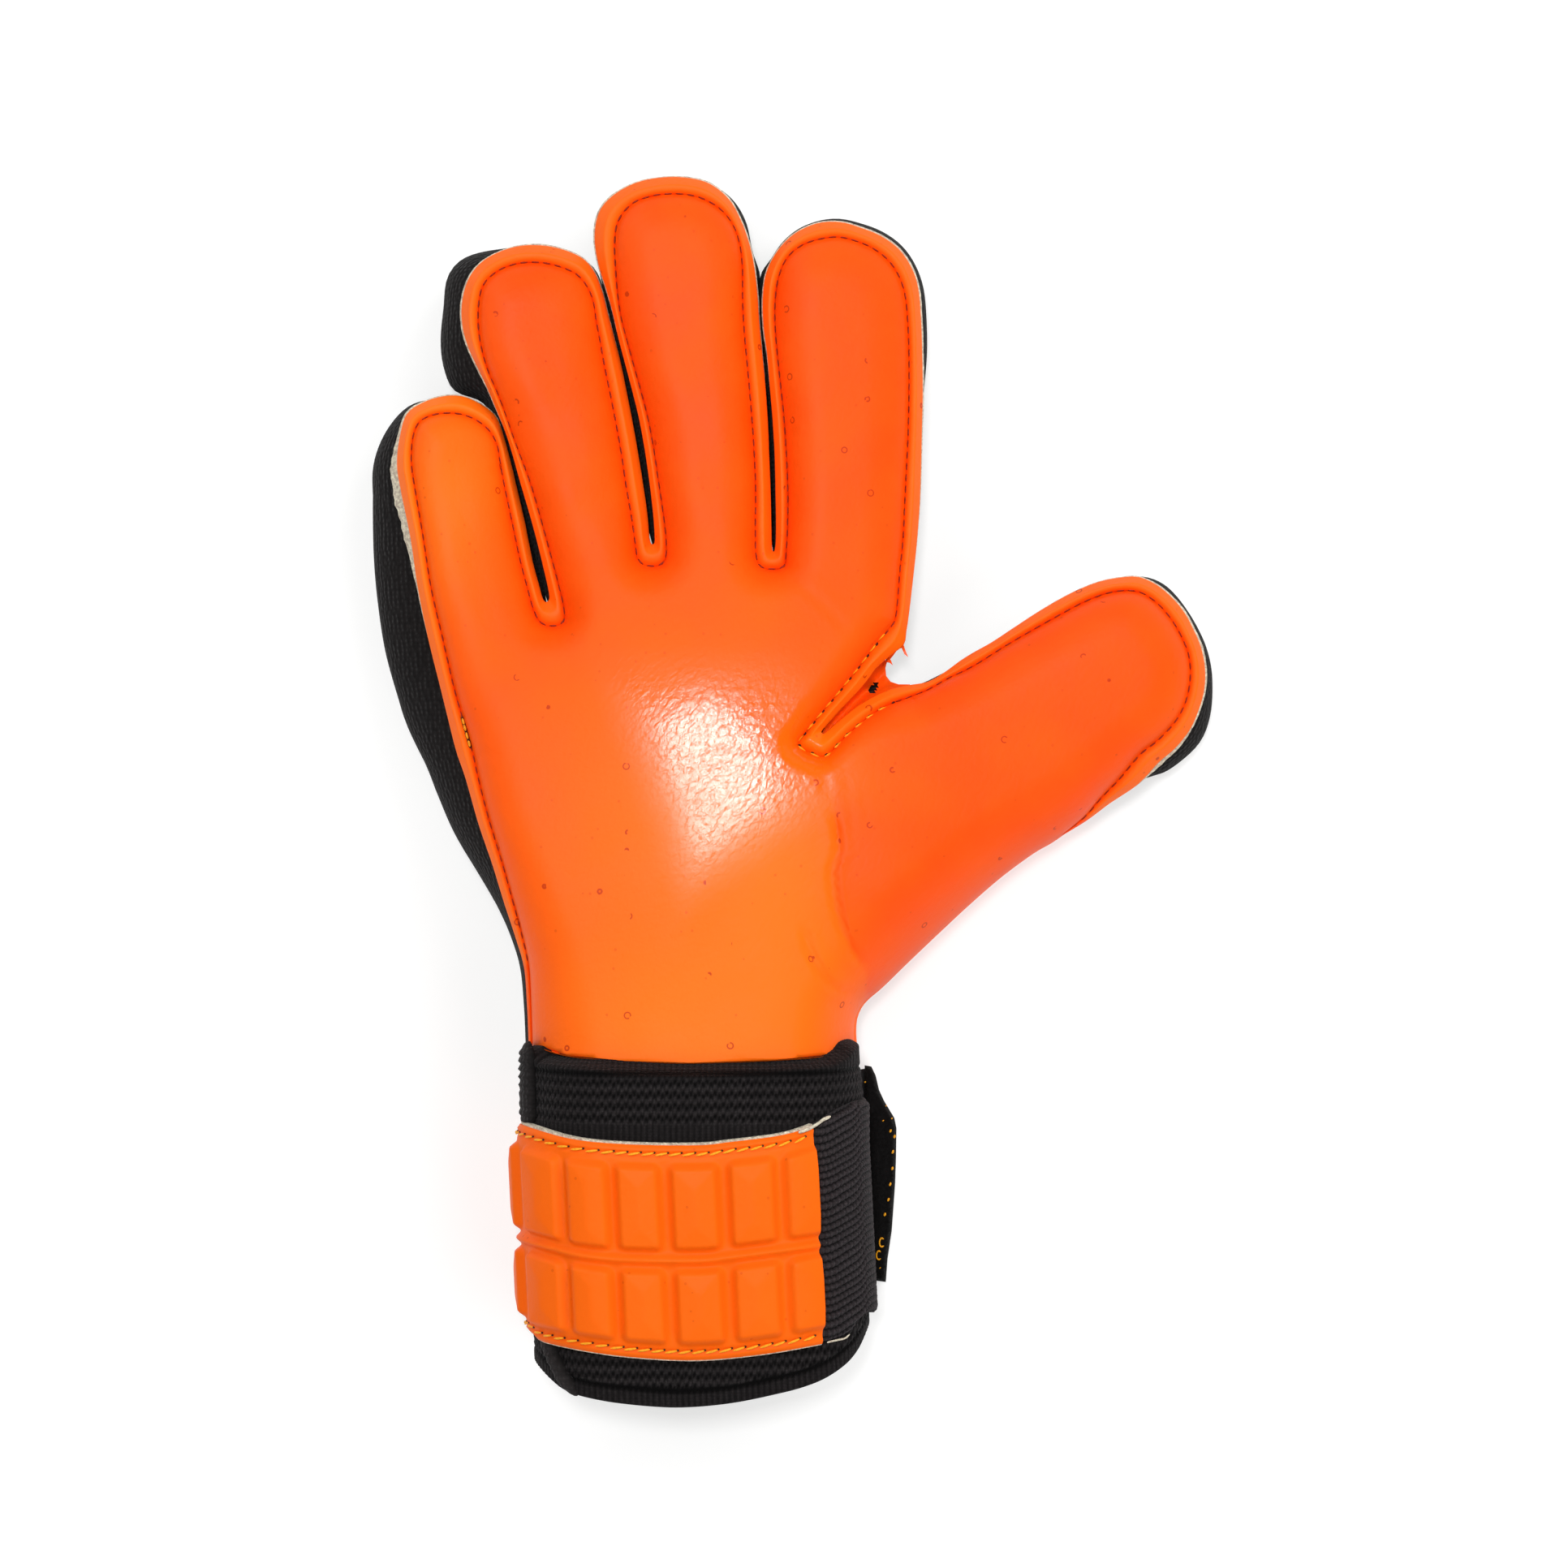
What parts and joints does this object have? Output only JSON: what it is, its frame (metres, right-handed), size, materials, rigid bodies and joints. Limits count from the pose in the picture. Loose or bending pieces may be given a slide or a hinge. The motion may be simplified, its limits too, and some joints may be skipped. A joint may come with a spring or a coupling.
{
  "type": "goalkeeper glove",
  "caption": "Right-hand goalkeeper glove with a flat-cut foam latex palm, knitted gussets and back, and a knitted cuff closed by a moulded strap. Digits, wrist and strap flap move.",
  "frame": {"origin": "middle of the glove's footprint, on the plane that its back lies on", "axes": "+X to the thumb side, +Y to the fingertips, +Z out of the palm"},
  "size_m": [0.1915, 0.2802, 0.0491],
  "materials": {
    "palm_latex": "satin foam latex",
    "gusset_knit": "matt mesh knit",
    "back_knit": "matt padded knit",
    "cuff_knit": "matt ribbed knit",
    "strap_latex": "satin moulded",
    "strap_webbing": "matt woven",
    "strap_elastic": "matt gathered elastic",
    "hook_and_loop": "matt hook and loop"
  },
  "bodies": {
    "hand": {"palm_latex": "palm_latex", "backhand_panel": "back_knit", "ulnar_gusset": "gusset_knit", "radial_gusset": "gusset_knit", "finger_web_gussets": "gusset_knit", "thumb_web_gusset": "gusset_knit", "finger_base_folds": "palm_latex", "thumb_base_fold": "palm_latex"},
    "cuff": {"cuff_knit": "cuff_knit", "cuff_top_band": "cuff_knit", "cuff_hem": "cuff_knit", "cuff_edge_binding": "cuff_knit", "strap_base_band": "strap_webbing", "strap_pad": "strap_latex", "strap_elastic": "strap_elastic", "strap_loop_patch": "hook_and_loop", "wrist_fold": "cuff_knit"},
    "strap_flap": {"flap_band": "strap_webbing", "flap_hook_patch": "hook_and_loop", "pull_tab": "hook_and_loop"},
    "little_base": {"little_base_latex": "palm_latex", "little_base_back": "back_knit", "little_base_gusset": "gusset_knit", "little_middle_fold": "palm_latex"},
    "little_tip": {"little_tip_latex": "palm_latex", "little_tip_back": "back_knit", "little_tip_gusset": "gusset_knit"},
    "ring_base": {"ring_base_latex": "palm_latex", "ring_base_back": "back_knit", "ring_base_gusset": "gusset_knit", "ring_middle_fold": "palm_latex"},
    "ring_tip": {"ring_tip_latex": "palm_latex", "ring_tip_back": "back_knit", "ring_tip_gusset": "gusset_knit"},
    "middle_base": {"middle_base_latex": "palm_latex", "middle_base_back": "back_knit", "middle_base_gusset": "gusset_knit", "middle_middle_fold": "palm_latex"},
    "middle_tip": {"middle_tip_latex": "palm_latex", "middle_tip_back": "back_knit", "middle_tip_gusset": "gusset_knit"},
    "index_base": {"index_base_latex": "palm_latex", "index_base_back": "back_knit", "index_base_gusset": "gusset_knit", "index_middle_fold": "palm_latex"},
    "index_tip": {"index_tip_latex": "palm_latex", "index_tip_back": "back_knit", "index_tip_gusset": "gusset_knit"},
    "thumb_base": {"thumb_base_latex": "palm_latex", "thumb_base_back": "back_knit", "thumb_base_gusset": "gusset_knit", "thumb_middle_fold": "palm_latex"},
    "thumb_tip": {"thumb_tip_latex": "palm_latex", "thumb_tip_back": "back_knit", "thumb_tip_gusset": "gusset_knit"}
  },
  "joints": [
    {"name": "little_base_bend", "type": "hinge", "parent": "hand", "child": "little_base", "pos_m": [-0.06958, 0.04724, 0.0155], "axis": [0.9763, 0.2164, 0], "range_deg": [0, 60], "stiffness_Nm_per_rad": 0.02, "deforming": ["finger_base_folds"]},
    {"name": "little_middle_bend", "type": "hinge", "parent": "little_base", "child": "little_tip", "pos_m": [-0.07402, 0.06725, 0.0155], "axis": [0.9763, 0.2164, 0], "range_deg": [0, 60], "stiffness_Nm_per_rad": 0.01, "deforming": ["little_middle_fold"]},
    {"name": "ring_base_bend", "type": "hinge", "parent": "hand", "child": "ring_base", "pos_m": [-0.04629, 0.06094, 0.0155], "axis": [0.9799, 0.1994, 0], "range_deg": [0, 65], "stiffness_Nm_per_rad": 0.02, "deforming": ["finger_base_folds"]},
    {"name": "ring_middle_bend", "type": "hinge", "parent": "ring_base", "child": "ring_tip", "pos_m": [-0.05267, 0.0923, 0.0155], "axis": [0.9799, 0.1994, 0], "range_deg": [0, 75], "stiffness_Nm_per_rad": 0.01, "deforming": ["ring_middle_fold"]},
    {"name": "middle_base_bend", "type": "hinge", "parent": "hand", "child": "middle_base", "pos_m": [-0.01988, 0.0661, 0.0155], "axis": [0.9928, 0.1201, 0], "range_deg": [0, 65], "stiffness_Nm_per_rad": 0.02, "deforming": ["finger_base_folds"]},
    {"name": "middle_middle_bend", "type": "hinge", "parent": "middle_base", "child": "middle_tip", "pos_m": [-0.02421, 0.10184, 0.0155], "axis": [0.9928, 0.1201, 0], "range_deg": [0, 75], "stiffness_Nm_per_rad": 0.01, "deforming": ["middle_middle_fold"]},
    {"name": "index_base_bend", "type": "hinge", "parent": "hand", "child": "index_base", "pos_m": [0.01209, 0.0644, 0.0155], "axis": [1, 0.0087, 0], "range_deg": [0, 65], "stiffness_Nm_per_rad": 0.02, "deforming": ["finger_base_folds"]},
    {"name": "index_middle_bend", "type": "hinge", "parent": "index_base", "child": "index_tip", "pos_m": [0.0118, 0.0974, 0.0155], "axis": [1, 0.0087, 0], "range_deg": [0, 75], "stiffness_Nm_per_rad": 0.01, "deforming": ["index_middle_fold"]},
    {"name": "thumb_base_bend", "type": "hinge", "parent": "hand", "child": "thumb_base", "pos_m": [0.0204, -0.0194, 0.0155], "axis": [0.1132, -0.9936, 0], "range_deg": [0, 45], "stiffness_Nm_per_rad": 0.02, "deforming": ["thumb_base_fold", "thumb_web_gusset"]},
    {"name": "thumb_middle_bend", "type": "hinge", "parent": "thumb_base", "child": "thumb_tip", "pos_m": [0.05686, 0.01261, 0.0155], "axis": [0.5388, -0.8425, 0], "range_deg": [0, 60], "stiffness_Nm_per_rad": 0.01, "deforming": ["thumb_middle_fold"]},
    {"name": "wrist_bend", "type": "hinge", "parent": "hand", "child": "cuff", "pos_m": [-0.0224, -0.06, 0.022], "axis": [-1, 0, 0], "range_deg": [-20, 35], "stiffness_Nm_per_rad": 0.8, "deforming": ["wrist_fold"]},
    {"name": "strap_flap_peel", "type": "hinge", "parent": "cuff", "child": "strap_flap", "pos_m": [-0.0625, -0.1, 0.0035], "axis": [0, 1, 0], "range_deg": [0, 170]}
  ]
}
